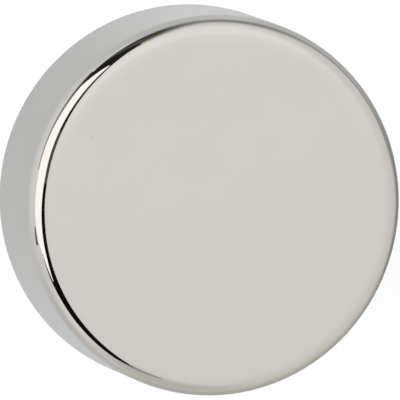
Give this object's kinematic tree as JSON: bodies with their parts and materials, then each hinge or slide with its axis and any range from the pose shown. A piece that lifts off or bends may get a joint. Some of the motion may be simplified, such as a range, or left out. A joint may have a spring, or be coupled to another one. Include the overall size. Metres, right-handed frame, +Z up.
{
  "type": "disc magnet",
  "caption": "Solid round disc magnet: a plain flat puck with level pole faces, a straight wall and smoothly rounded rims, in bright nickel plate.",
  "frame": {"origin": "centre of the lower pole face", "axes": "+Z up along the disc's axis; +X and +Y are free, because the disc is round"},
  "size_m": [0.02, 0.02, 0.008],
  "materials": {
    "nickel_plate": "bright nickel plate, smooth with a faint grain"
  },
  "bodies": {
    "root": {"magnet_disc": "nickel_plate"}
  },
  "joints": []
}
